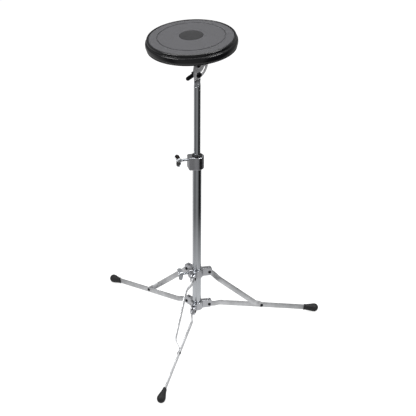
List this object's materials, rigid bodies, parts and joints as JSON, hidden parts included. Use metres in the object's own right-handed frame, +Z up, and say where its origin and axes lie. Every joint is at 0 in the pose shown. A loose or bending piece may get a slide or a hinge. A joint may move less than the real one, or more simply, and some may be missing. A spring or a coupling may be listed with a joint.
{
  "type": "drum practice pad on stand",
  "caption": "Round drum practice pad with a grey rubber face and black rim, tilting on a chrome height-adjustable stand with three folding strap legs.",
  "frame": {"origin": "bottom centre of the whole object's box, on the floor under the stand", "axes": "+Z up along the tube, -Y toward leg 1"},
  "size_m": [0.6826, 0.602, 0.9538],
  "materials": {
    "chrome": "polished chrome plate",
    "plated_steel": "satin zinc plate",
    "cast_zinc": "plated zinc die casting",
    "black_steel": "black oxide",
    "black_plastic": "gloss moulded",
    "foot_rubber": "matt moulded",
    "grey_rubber": "fine pebbled",
    "dark_rubber": "matt",
    "foam": "open-cell foam",
    "fibreboard": "raw board",
    "nylon": "moulded",
    "brass": "turned"
  },
  "bodies": {
    "base": {"main_tube": "chrome", "lower_hub": "cast_zinc", "hub_screw": "black_steel", "tube_end_plug": "foot_rubber", "height_clamp": "cast_zinc", "clamp_bushing": "nylon", "clamp_shoe": "brass", "leg_pivot_rivet_1": "black_steel", "leg_pivot_rivet_2": "black_steel", "leg_pivot_rivet_3": "black_steel"},
    "height_screw": {"height_wing_screw": "chrome"},
    "guide": {"tube_guide": "nylon"},
    "post": {"upper_tube": "chrome", "tilter_stem": "plated_steel", "stem_pin": "plated_steel", "tilt_pivot_pin": "black_steel", "tilt_clamp_bolt": "black_steel", "tilt_washer": "plated_steel"},
    "pad": {"playing_surface": "grey_rubber", "centre_spot": "dark_rubber", "pad_rim": "black_plastic", "foam_layer": "foam", "pad_base": "fibreboard", "pad_bracket": "plated_steel", "bracket_screw_1": "plated_steel", "bracket_screw_2": "plated_steel", "bracket_screw_3": "plated_steel", "bracket_screw_4": "plated_steel"},
    "tilt_nut": {"tilt_wing_nut": "black_steel"},
    "collar": {"leg_collar": "cast_zinc", "collar_shoe": "brass", "strut_top_rivet_1": "black_steel", "strut_top_rivet_2": "black_steel", "strut_top_rivet_3": "black_steel"},
    "collar_screw": {"collar_wing_screw": "chrome"},
    "leg_1": {"leg_bar_1": "plated_steel", "rubber_foot_1": "foot_rubber", "leg_brace_rivet_1": "black_steel"},
    "strut_1": {"strut_bar_1": "plated_steel", "strut_brace_rivet_1": "black_steel"},
    "leg_2": {"leg_bar_2": "plated_steel", "rubber_foot_2": "foot_rubber", "leg_brace_rivet_2": "black_steel"},
    "strut_2": {"strut_bar_2": "plated_steel", "strut_brace_rivet_2": "black_steel"},
    "leg_3": {"leg_bar_3": "plated_steel", "rubber_foot_3": "foot_rubber", "leg_brace_rivet_3": "black_steel"},
    "strut_3": {"strut_bar_3": "plated_steel", "strut_brace_rivet_3": "black_steel"}
  },
  "joints": [
    {"name": "height_slide", "type": "slide", "parent": "base", "child": "guide", "axis": [0, 0, 1], "range_m": [-0.19, 0.09]},
    {"name": "post_swivel", "type": "hinge", "parent": "guide", "child": "post", "pos_m": [0.0045, 0.09126, 0.43], "axis": [0, 0, 1], "continuous": true},
    {"name": "pad_tilt", "type": "hinge", "parent": "post", "child": "pad", "pos_m": [0.0045, 0.09126, 0.857], "axis": [0.891, -0.454, 0], "range_deg": [-62, 6]},
    {"name": "tilt_nut_turn", "type": "hinge", "parent": "post", "child": "tilt_nut", "pos_m": [-0.00085, 0.09398, 0.829], "axis": [-0.891, 0.454, 0], "range_deg": [0, 360]},
    {"name": "height_screw_turn", "type": "hinge", "parent": "base", "child": "height_screw", "pos_m": [-0.03014, 0.07126, 0.574], "axis": [-0.866, -0.5, 0], "range_deg": [0, 360]},
    {"name": "collar_slide", "type": "slide", "parent": "base", "child": "collar", "axis": [0, 0, 1], "range_m": [0, 0.2835]},
    {"name": "collar_screw_turn", "type": "hinge", "parent": "collar", "child": "collar_screw", "pos_m": [-0.02668, 0.07326, 0.2], "axis": [-0.866, -0.5, 0], "range_deg": [0, 360]},
    {"name": "leg_1_fold", "type": "hinge", "parent": "base", "child": "leg_1", "pos_m": [0.0045, 0.05326, 0.08476], "axis": [-1, 0, 0], "range_deg": [0, 102.01]},
    {"name": "strut_1_fold", "type": "hinge", "parent": "collar", "child": "strut_1", "pos_m": [0.0045, 0.05326, 0.198], "axis": [1, 0, 0], "range_deg": [0, 48.48]},
    {"name": "leg_2_fold", "type": "hinge", "parent": "base", "child": "leg_2", "pos_m": [0.03741, 0.11026, 0.08476], "axis": [0.5, -0.866, 0], "range_deg": [0, 102.01]},
    {"name": "strut_2_fold", "type": "hinge", "parent": "collar", "child": "strut_2", "pos_m": [0.03741, 0.11026, 0.198], "axis": [-0.5, 0.866, 0], "range_deg": [0, 48.48]},
    {"name": "leg_3_fold", "type": "hinge", "parent": "base", "child": "leg_3", "pos_m": [-0.02841, 0.11026, 0.08476], "axis": [0.5, 0.866, 0], "range_deg": [0, 102.01]},
    {"name": "strut_3_fold", "type": "hinge", "parent": "collar", "child": "strut_3", "pos_m": [-0.02841, 0.11026, 0.198], "axis": [-0.5, -0.866, 0], "range_deg": [0, 48.48]}
  ],
  "couplings": [
    {"joint": "leg_1_fold", "follows": "collar_slide", "rad_per_m": 6.2796},
    {"joint": "strut_1_fold", "follows": "collar_slide", "rad_per_m": 2.9841},
    {"joint": "leg_2_fold", "follows": "collar_slide", "rad_per_m": 6.2796},
    {"joint": "strut_2_fold", "follows": "collar_slide", "rad_per_m": 2.9841},
    {"joint": "leg_3_fold", "follows": "collar_slide", "rad_per_m": 6.2796},
    {"joint": "strut_3_fold", "follows": "collar_slide", "rad_per_m": 2.9841}
  ]
}
